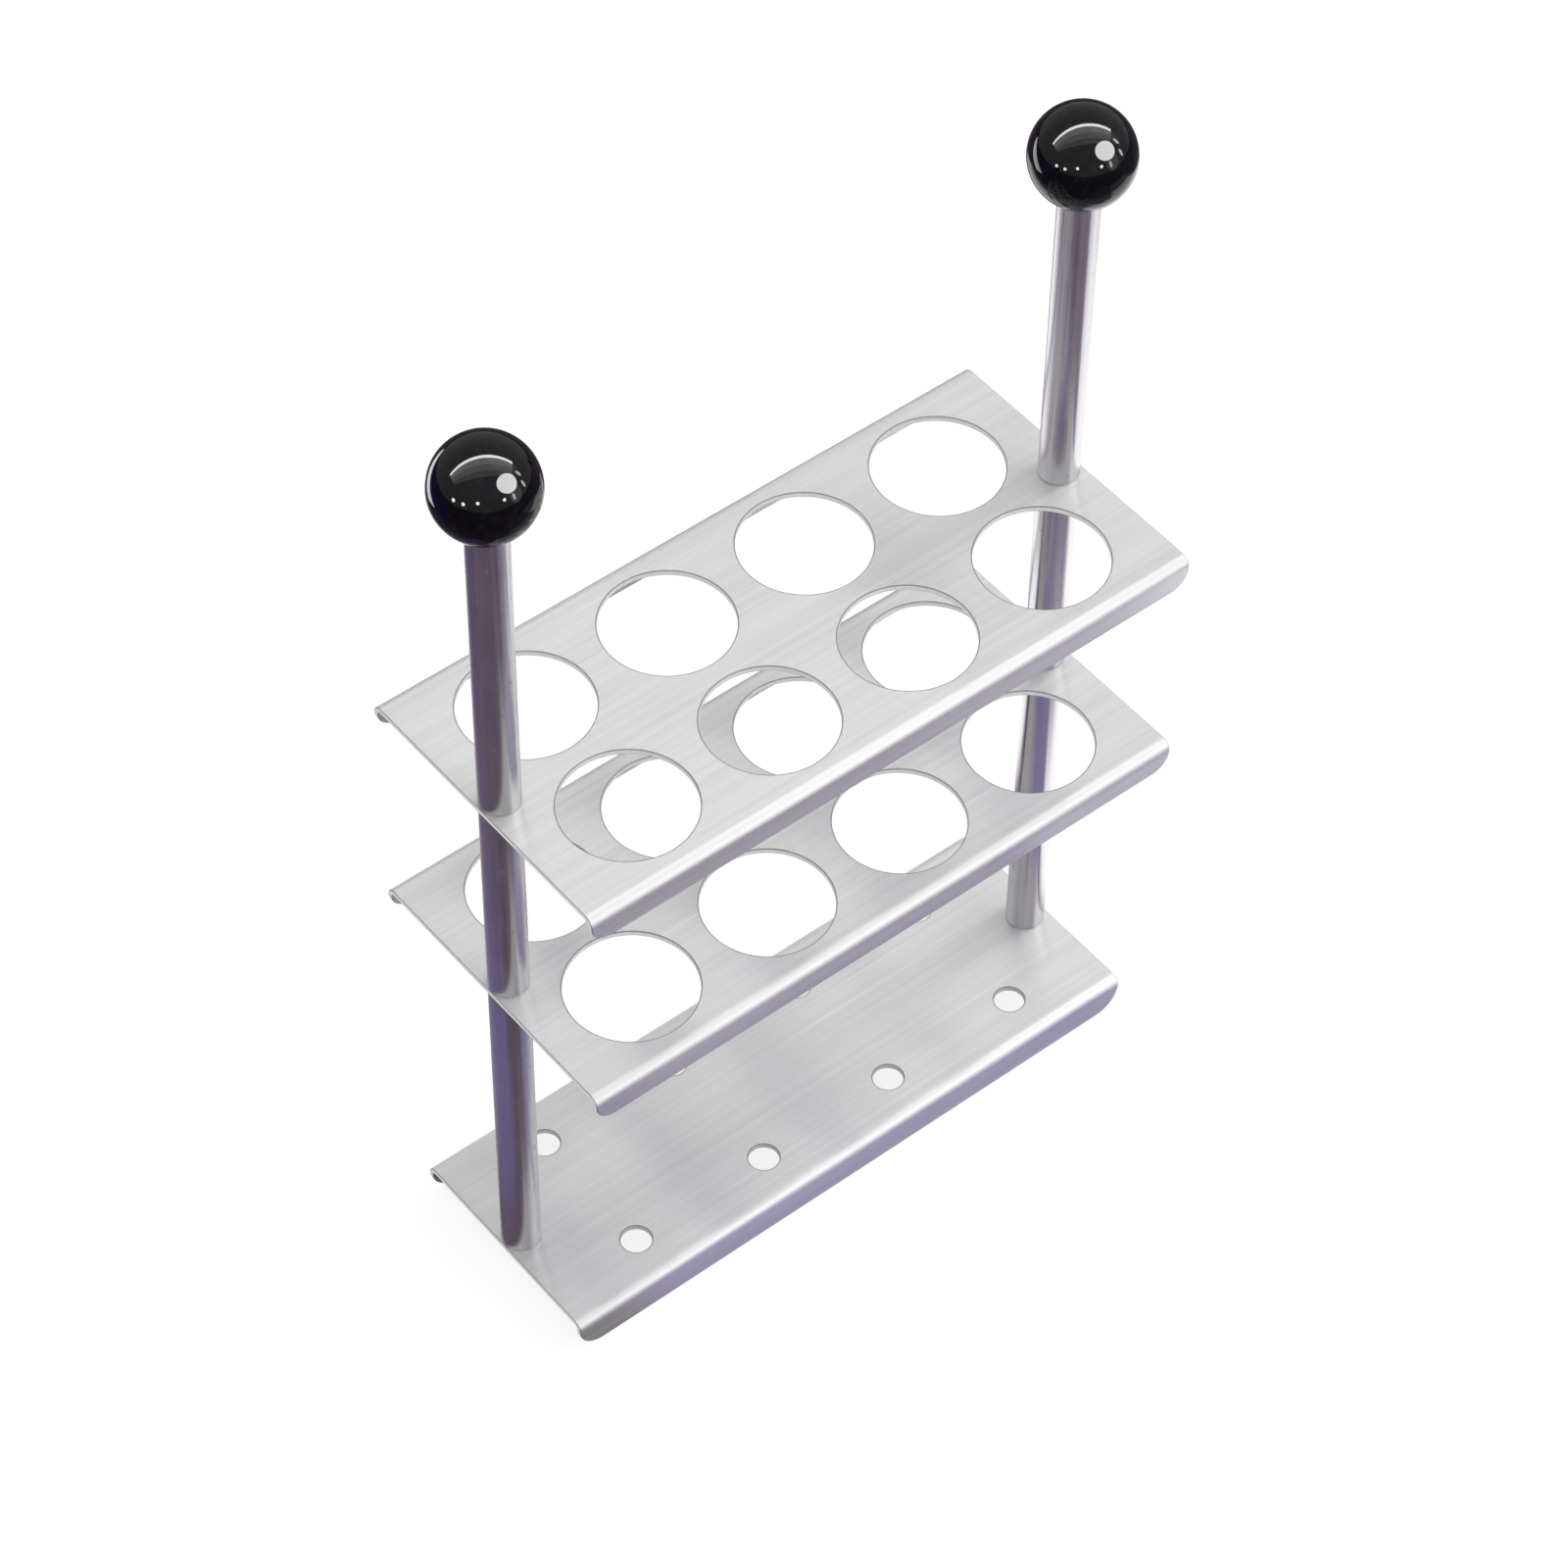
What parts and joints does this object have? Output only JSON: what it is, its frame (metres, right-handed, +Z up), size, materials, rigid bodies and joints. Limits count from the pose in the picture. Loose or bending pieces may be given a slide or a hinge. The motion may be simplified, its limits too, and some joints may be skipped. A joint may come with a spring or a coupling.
{
  "type": "butyrometer rack",
  "caption": "Free-standing stainless rack of folded sheet shelves with round seats, carried on two upright rods with black ball knobs, for holding butyrometers upright.",
  "frame": {"origin": "on the bench under the middle of the base shelf", "axes": "+X along the shelves to the right as the picture shows them, +Y to the rear, +Z up along the rods"},
  "size_m": [0.1514, 0.065, 0.2314],
  "materials": {
    "brushed_sheet": "fine brushed along the shelf",
    "polished_rod": "polished, ground round bar",
    "black_phenolic": "polished gloss",
    "brass": "turned",
    "steel_hardware": "machined"
  },
  "bodies": {
    "root": {"base_shelf": "brushed_sheet", "middle_shelf": "brushed_sheet", "top_shelf": "brushed_sheet", "left_lower_rod": "polished_rod", "left_middle_rod": "polished_rod", "left_handle_rod": "polished_rod", "left_knob": "black_phenolic", "left_knob_insert": "brass", "left_foot_washer": "steel_hardware", "left_foot_screw": "steel_hardware", "right_lower_rod": "polished_rod", "right_middle_rod": "polished_rod", "right_handle_rod": "polished_rod", "right_knob": "black_phenolic", "right_knob_insert": "brass", "right_foot_washer": "steel_hardware", "right_foot_screw": "steel_hardware"}
  },
  "joints": []
}
